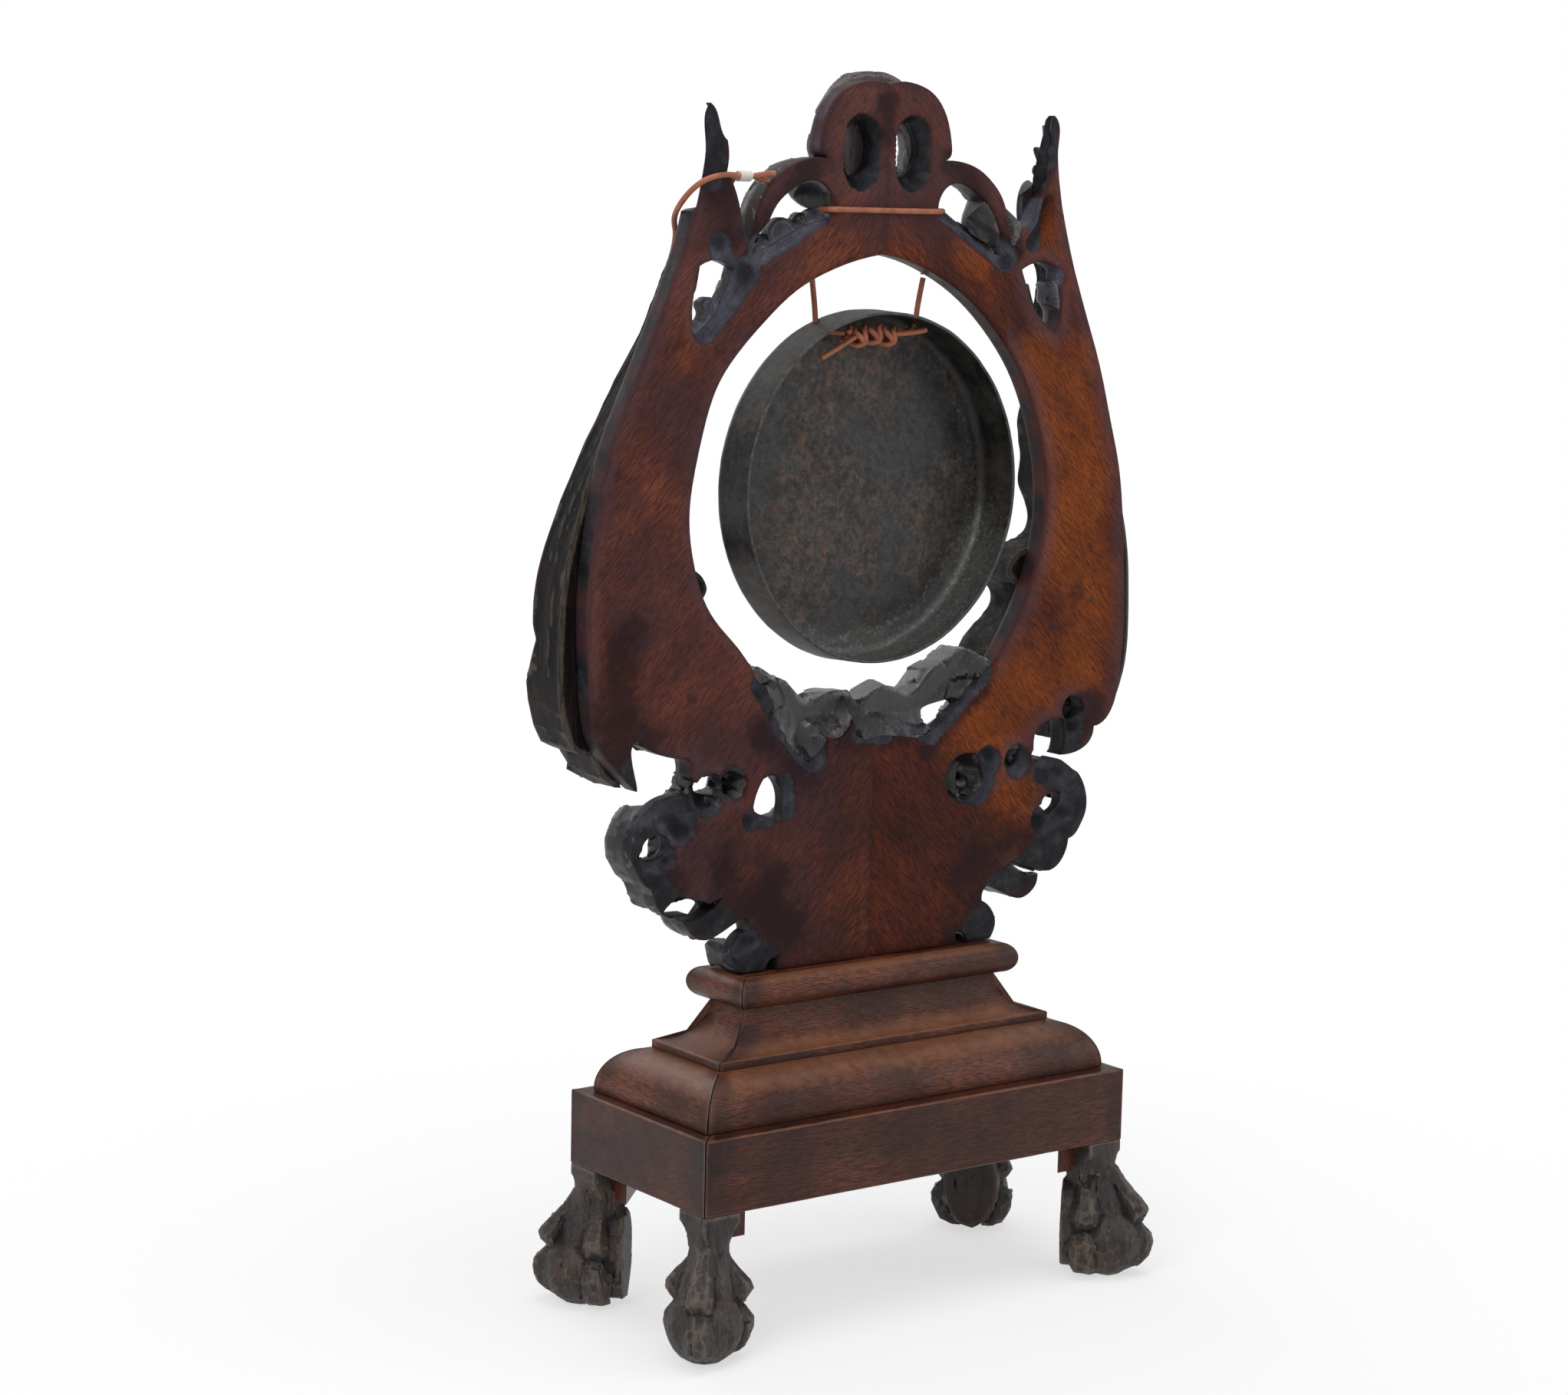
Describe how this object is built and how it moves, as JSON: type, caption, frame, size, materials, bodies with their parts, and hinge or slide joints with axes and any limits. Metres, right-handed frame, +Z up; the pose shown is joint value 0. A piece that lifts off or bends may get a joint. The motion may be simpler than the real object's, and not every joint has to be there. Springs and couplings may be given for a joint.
{
  "type": "tam tam gong",
  "caption": "Shallow bronze gong hung on a leather lace in a carved lyre-shaped stand with a moulded plinth, claw-and-ball feet and a strap-hung beater.",
  "frame": {"origin": "middle of the plinth on the floor", "axes": "+Z up; -Y is the carved front, +Y the plain sawn back; +X is the side the beater hangs on"},
  "size_m": [0.5432, 0.2206, 0.9282],
  "materials": {
    "board_oak": "dark red-brown polish over coarse straight grain, worn to a dull sheen",
    "carved_oak": "blackened carved wood, satin, with bluish-grey highlights on the tool marks",
    "plinth_oak": "dark brown polish, satin, worn lighter along the arrises",
    "foot_oak": "grey-black, cracked and worn to tan on the knuckles",
    "hidden_wood": "unpolished brown wood",
    "gong_bronze": "hammered bronze with a mottled grey-green and brown patina, metallic, semi-rough",
    "lace_leather": "tan-orange leather, matt",
    "whipping_thread": "white waxed thread, matt",
    "beater_wood": "turned wood, oiled",
    "beater_wool": "packed wool felt, matt",
    "beater_leather": "soft stitched leather, matt",
    "screw_steel": "plain steel, dulled"
  },
  "bodies": {
    "stand": {"apron_back": "plinth_oak", "apron_front": "plinth_oak", "apron_left": "plinth_oak", "apron_right": "plinth_oak", "arch_carving_left": "carved_oak", "arch_carving_right": "carved_oak", "arm_carving_left": "carved_oak", "arm_carving_right": "carved_oak", "beater_strap": "lace_leather", "board_left": "board_oak", "board_right": "board_oak", "cap_board": "plinth_oak", "cap_nosing_back": "plinth_oak", "cap_nosing_front": "plinth_oak", "cap_nosing_left": "plinth_oak", "cap_nosing_right": "plinth_oak", "corner_block_back_left": "hidden_wood", "corner_block_back_right": "hidden_wood", "corner_block_front_left": "hidden_wood", "corner_block_front_right": "hidden_wood", "crest_carving": "carved_oak", "deck_board": "plinth_oak", "foot_back_left": "foot_oak", "foot_back_right": "foot_oak", "foot_dowels": "hidden_wood", "foot_front_left": "foot_oak", "foot_front_right": "foot_oak", "horn_leaf_left": "carved_oak", "horn_leaf_right": "carved_oak", "lace_neck_loop": "lace_leather", "limb_carving_left": "carved_oak", "limb_carving_right": "carved_oak", "lower_carving_left": "carved_oak", "lower_carving_right": "carved_oak", "ovolo_back": "plinth_oak", "ovolo_front": "plinth_oak", "ovolo_left": "plinth_oak", "ovolo_right": "plinth_oak", "plinth_core_lower": "hidden_wood", "plinth_core_upper": "hidden_wood", "scotia_back": "plinth_oak", "scotia_front": "plinth_oak", "scotia_left": "plinth_oak", "scotia_right": "plinth_oak", "seam_spline": "hidden_wood", "stand_screws": "screw_steel", "strap_tails": "lace_leather", "strap_whipping": "whipping_thread", "wave_carving": "carved_oak"},
    "gong": {"gong_pan": "gong_bronze", "lace_drop_right": "lace_leather", "lace_drop_left": "lace_leather", "lace_knot": "lace_leather", "lace_ends": "lace_leather"},
    "beater": {"beater_handle": "beater_wood", "beater_head": "beater_wool", "beater_cover": "beater_leather", "beater_binding": "whipping_thread"}
  },
  "joints": [
    {"name": "gong_swing", "type": "hinge", "parent": "stand", "child": "gong", "pos_m": [0, -0.0052, 0.7769], "axis": [1, 0, 0], "range_deg": [-25, 25]},
    {"name": "beater_swing", "type": "hinge", "parent": "stand", "child": "beater", "pos_m": [0.15, -0.0333, 0.7614], "axis": [1, 0, 0], "range_deg": [-50, 0]}
  ]
}
